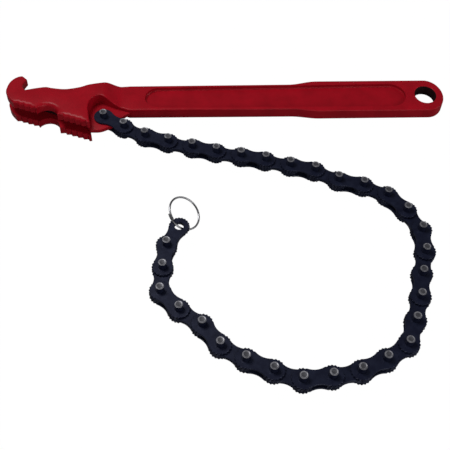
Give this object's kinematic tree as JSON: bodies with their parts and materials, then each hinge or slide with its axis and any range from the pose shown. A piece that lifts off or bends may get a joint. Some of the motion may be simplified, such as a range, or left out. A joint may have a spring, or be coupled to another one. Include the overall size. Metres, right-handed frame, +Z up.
{
  "type": "chain pipe wrench",
  "caption": "Chain pipe wrench: flat forged handle with a forked, toothed head and hook, a leaf-type plate chain pinned in the head, and a wire ring on the chain's end.",
  "frame": {"origin": "centre of the bounding box's base, the wrench lying flat", "axes": "+X along the handle from the toothed head to the hanging hole, +Y across it away from the chain, +Z up"},
  "size_m": [0.2912, 0.2278, 0.0185],
  "materials": {
    "red_enamel": "semi-gloss enamel",
    "black_oxide_steel": "black oxide, oiled",
    "bright_wire": "bright"
  },
  "bodies": {
    "handle": {"handle": "red_enamel"},
    "link_01": {"pin_link_01": "black_oxide_steel", "cover_plate_01": "black_oxide_steel"},
    "link_02": {"inner_link_02": "black_oxide_steel"},
    "link_03": {"pin_link_03": "black_oxide_steel", "cover_plate_03": "black_oxide_steel"},
    "link_04": {"inner_link_04": "black_oxide_steel"},
    "link_05": {"pin_link_05": "black_oxide_steel", "cover_plate_05": "black_oxide_steel"},
    "link_06": {"inner_link_06": "black_oxide_steel"},
    "link_07": {"pin_link_07": "black_oxide_steel", "cover_plate_07": "black_oxide_steel"},
    "link_08": {"inner_link_08": "black_oxide_steel"},
    "link_09": {"pin_link_09": "black_oxide_steel", "cover_plate_09": "black_oxide_steel"},
    "link_10": {"inner_link_10": "black_oxide_steel"},
    "link_11": {"pin_link_11": "black_oxide_steel", "cover_plate_11": "black_oxide_steel"},
    "link_12": {"inner_link_12": "black_oxide_steel"},
    "link_13": {"pin_link_13": "black_oxide_steel", "cover_plate_13": "black_oxide_steel"},
    "link_14": {"inner_link_14": "black_oxide_steel"},
    "link_15": {"pin_link_15": "black_oxide_steel", "cover_plate_15": "black_oxide_steel"},
    "link_16": {"inner_link_16": "black_oxide_steel"},
    "link_17": {"pin_link_17": "black_oxide_steel", "cover_plate_17": "black_oxide_steel"},
    "link_18": {"inner_link_18": "black_oxide_steel"},
    "link_19": {"pin_link_19": "black_oxide_steel", "cover_plate_19": "black_oxide_steel"},
    "link_20": {"inner_link_20": "black_oxide_steel"},
    "link_21": {"pin_link_21": "black_oxide_steel", "cover_plate_21": "black_oxide_steel"},
    "link_22": {"inner_link_22": "black_oxide_steel"},
    "link_23": {"pin_link_23": "black_oxide_steel", "cover_plate_23": "black_oxide_steel"},
    "link_24": {"inner_link_24": "black_oxide_steel"},
    "link_25": {"pin_link_25": "black_oxide_steel", "cover_plate_25": "black_oxide_steel"},
    "link_26": {"inner_link_26": "black_oxide_steel"},
    "link_27": {"pin_link_27": "black_oxide_steel", "cover_plate_27": "black_oxide_steel"},
    "link_28": {"inner_link_28": "black_oxide_steel"},
    "link_29": {"pin_link_29": "black_oxide_steel", "cover_plate_29": "black_oxide_steel"},
    "link_30": {"inner_link_30": "black_oxide_steel"},
    "link_31": {"pin_link_31": "black_oxide_steel", "cover_plate_31": "black_oxide_steel"},
    "link_32": {"inner_link_32": "black_oxide_steel"},
    "ring": {"ring": "bright_wire"}
  },
  "joints": [
    {"name": "chain_hinge_01", "type": "hinge", "parent": "handle", "child": "link_01", "pos_m": [-0.08155, 0.08221, 0.00925], "axis": [0, 0, 1], "range_deg": [-45, 5]},
    {"name": "chain_hinge_02", "type": "hinge", "parent": "link_01", "child": "link_02", "pos_m": [-0.06824, 0.07357, 0.00925], "axis": [0, 0, 1], "range_deg": [-123, 117]},
    {"name": "chain_hinge_03", "type": "hinge", "parent": "link_02", "child": "link_03", "pos_m": [-0.05449, 0.06563, 0.00925], "axis": [0, 0, 1], "range_deg": [-130, 110]},
    {"name": "chain_hinge_04", "type": "hinge", "parent": "link_03", "child": "link_04", "pos_m": [-0.03957, 0.0602, 0.00925], "axis": [0, 0, 1], "range_deg": [-123, 117]},
    {"name": "chain_hinge_05", "type": "hinge", "parent": "link_04", "child": "link_05", "pos_m": [-0.02439, 0.05556, 0.00925], "axis": [0, 0, 1], "range_deg": [-121, 119]},
    {"name": "chain_hinge_06", "type": "hinge", "parent": "link_05", "child": "link_06", "pos_m": [-0.00913, 0.05118, 0.00925], "axis": [0, 0, 1], "range_deg": [-123, 117]},
    {"name": "chain_hinge_07", "type": "hinge", "parent": "link_06", "child": "link_07", "pos_m": [0.00634, 0.04761, 0.00925], "axis": [0, 0, 1], "range_deg": [-119, 121]},
    {"name": "chain_hinge_08", "type": "hinge", "parent": "link_07", "child": "link_08", "pos_m": [0.02174, 0.04377, 0.00925], "axis": [0, 0, 1], "range_deg": [-117, 123]},
    {"name": "chain_hinge_09", "type": "hinge", "parent": "link_08", "child": "link_09", "pos_m": [0.03692, 0.03913, 0.00925], "axis": [0, 0, 1], "range_deg": [-121, 119]},
    {"name": "chain_hinge_10", "type": "hinge", "parent": "link_09", "child": "link_10", "pos_m": [0.05218, 0.03476, 0.00925], "axis": [0, 0, 1], "range_deg": [-105, 135]},
    {"name": "chain_hinge_11", "type": "hinge", "parent": "link_10", "child": "link_11", "pos_m": [0.06579, 0.02658, 0.00925], "axis": [0, 0, 1], "range_deg": [-134, 106]},
    {"name": "chain_hinge_12", "type": "hinge", "parent": "link_11", "child": "link_12", "pos_m": [0.08097, 0.02194, 0.00925], "axis": [0, 0, 1], "range_deg": [-107, 133]},
    {"name": "chain_hinge_13", "type": "hinge", "parent": "link_12", "child": "link_13", "pos_m": [0.09472, 0.014, 0.00925], "axis": [0, 0, 1], "range_deg": [-98, 142]},
    {"name": "chain_hinge_14", "type": "hinge", "parent": "link_13", "child": "link_14", "pos_m": [0.1045, 0.00149, 0.00925], "axis": [0, 0, 1], "range_deg": [-106, 134]},
    {"name": "chain_hinge_15", "type": "hinge", "parent": "link_14", "child": "link_15", "pos_m": [0.11095, -0.01301, 0.00925], "axis": [0, 0, 1], "range_deg": [-93, 147]},
    {"name": "chain_hinge_16", "type": "hinge", "parent": "link_15", "child": "link_16", "pos_m": [0.11012, -0.02887, 0.00925], "axis": [0, 0, 1], "range_deg": [-106, 134]},
    {"name": "chain_hinge_17", "type": "hinge", "parent": "link_16", "child": "link_17", "pos_m": [0.10548, -0.04405, 0.00925], "axis": [0, 0, 1], "range_deg": [-123, 117]},
    {"name": "chain_hinge_18", "type": "hinge", "parent": "link_17", "child": "link_18", "pos_m": [0.10164, -0.05945, 0.00925], "axis": [0, 0, 1], "range_deg": [-114, 126]},
    {"name": "chain_hinge_19", "type": "hinge", "parent": "link_18", "child": "link_19", "pos_m": [0.09621, -0.07437, 0.00925], "axis": [0, 0, 1], "range_deg": [-116, 124]},
    {"name": "chain_hinge_20", "type": "hinge", "parent": "link_19", "child": "link_20", "pos_m": [0.08975, -0.08887, 0.00925], "axis": [0, 0, 1], "range_deg": [0, 24]},
    {"name": "chain_hinge_21", "type": "hinge", "parent": "link_20", "child": "link_21", "pos_m": [0.07644, -0.09752, 0.00925], "axis": [0, 0, 1], "range_deg": [-111, 129]},
    {"name": "chain_hinge_22", "type": "hinge", "parent": "link_21", "child": "link_22", "pos_m": [0.06194, -0.10397, 0.00925], "axis": [0, 0, 1], "range_deg": [-106, 134]},
    {"name": "chain_hinge_23", "type": "hinge", "parent": "link_22", "child": "link_23", "pos_m": [0.0463, -0.10673, 0.00925], "axis": [0, 0, 1], "range_deg": [-115, 125]},
    {"name": "chain_hinge_24", "type": "hinge", "parent": "link_23", "child": "link_24", "pos_m": [0.03049, -0.10811, 0.00925], "axis": [0, 0, 1], "range_deg": [-94, 146]},
    {"name": "chain_hinge_25", "type": "hinge", "parent": "link_24", "child": "link_25", "pos_m": [0.01567, -0.10243, 0.00925], "axis": [0, 0, 1], "range_deg": [-115, 125]},
    {"name": "chain_hinge_26", "type": "hinge", "parent": "link_25", "child": "link_26", "pos_m": [0.0014, -0.09547, 0.00925], "axis": [0, 0, 1], "range_deg": [-113, 127]},
    {"name": "chain_hinge_27", "type": "hinge", "parent": "link_26", "child": "link_27", "pos_m": [-0.01192, -0.08682, 0.00925], "axis": [0, 0, 1], "range_deg": [-99, 141]},
    {"name": "chain_hinge_28", "type": "hinge", "parent": "link_27", "child": "link_28", "pos_m": [-0.02125, -0.07398, 0.00925], "axis": [0, 0, 1], "range_deg": [-136, 104]},
    {"name": "chain_hinge_29", "type": "hinge", "parent": "link_28", "child": "link_29", "pos_m": [-0.03376, -0.0642, 0.00925], "axis": [0, 0, 1], "range_deg": [-109, 131]},
    {"name": "chain_hinge_30", "type": "hinge", "parent": "link_29", "child": "link_30", "pos_m": [-0.04417, -0.05222, 0.00925], "axis": [0, 0, 1], "range_deg": [-74, 166]},
    {"name": "chain_hinge_31", "type": "hinge", "parent": "link_30", "child": "link_31", "pos_m": [-0.04279, -0.03641, 0.00925], "axis": [0, 0, 1], "range_deg": [-117, 123]},
    {"name": "chain_hinge_32", "type": "hinge", "parent": "link_31", "child": "link_32", "pos_m": [-0.04058, -0.02069, 0.00925], "axis": [0, 0, 1], "range_deg": [-100, 140]},
    {"name": "ring_swing", "type": "hinge", "parent": "link_32", "child": "ring", "pos_m": [-0.03313, -0.00667, 0.00925], "axis": [-0.6938, 0.2663, 0.6691], "range_deg": [-50, 50]}
  ],
  "couplings": [
    {"joint": "chain_hinge_02", "follows": "chain_hinge_20", "ratio": -0.16667},
    {"joint": "chain_hinge_03", "follows": "chain_hinge_20", "ratio": -0.41667},
    {"joint": "chain_hinge_04", "follows": "chain_hinge_20", "ratio": -0.16667},
    {"joint": "chain_hinge_05", "follows": "chain_hinge_20", "ratio": -0.41667},
    {"joint": "chain_hinge_06", "follows": "chain_hinge_20", "ratio": -0.5},
    {"joint": "chain_hinge_07", "follows": "chain_hinge_20", "ratio": -0.33333},
    {"joint": "chain_hinge_08", "follows": "chain_hinge_20", "ratio": -0.25},
    {"joint": "chain_hinge_09", "follows": "chain_hinge_20", "ratio": -0.41667},
    {"joint": "chain_hinge_10", "follows": "chain_hinge_20", "ratio": 0.25},
    {"joint": "chain_hinge_11", "follows": "chain_hinge_20", "ratio": -0.95833},
    {"joint": "chain_hinge_12", "follows": "chain_hinge_20", "ratio": 0.16667},
    {"joint": "chain_hinge_13", "follows": "chain_hinge_20", "ratio": 0.54167},
    {"joint": "chain_hinge_14", "follows": "chain_hinge_20", "ratio": 0.20833},
    {"joint": "chain_hinge_15", "follows": "chain_hinge_20", "ratio": 0.75},
    {"joint": "chain_hinge_16", "follows": "chain_hinge_20", "ratio": 0.20833},
    {"joint": "chain_hinge_17", "follows": "chain_hinge_20", "ratio": -0.5},
    {"joint": "chain_hinge_18", "follows": "chain_hinge_20", "ratio": -0.16667},
    {"joint": "chain_hinge_19", "follows": "chain_hinge_20", "ratio": -0.20833},
    {"joint": "chain_hinge_21", "follows": "chain_hinge_20", "ratio": 0.16667},
    {"joint": "chain_hinge_22", "follows": "chain_hinge_20", "ratio": 0.20833},
    {"joint": "chain_hinge_23", "follows": "chain_hinge_20", "ratio": -0.16667},
    {"joint": "chain_hinge_24", "follows": "chain_hinge_20", "ratio": 0.70833},
    {"joint": "chain_hinge_25", "follows": "chain_hinge_20", "ratio": -0.16667},
    {"joint": "chain_hinge_26", "follows": "chain_hinge_20", "ratio": -0.16667},
    {"joint": "chain_hinge_27", "follows": "chain_hinge_20", "ratio": 0.5},
    {"joint": "chain_hinge_28", "follows": "chain_hinge_20", "ratio": -1.0417},
    {"joint": "chain_hinge_29", "follows": "chain_hinge_20", "ratio": 0.16667},
    {"joint": "chain_hinge_30", "follows": "chain_hinge_20", "ratio": 1.5417},
    {"joint": "chain_hinge_31", "follows": "chain_hinge_20", "ratio": -0.25},
    {"joint": "chain_hinge_32", "follows": "chain_hinge_20", "ratio": 0.45833}
  ]
}
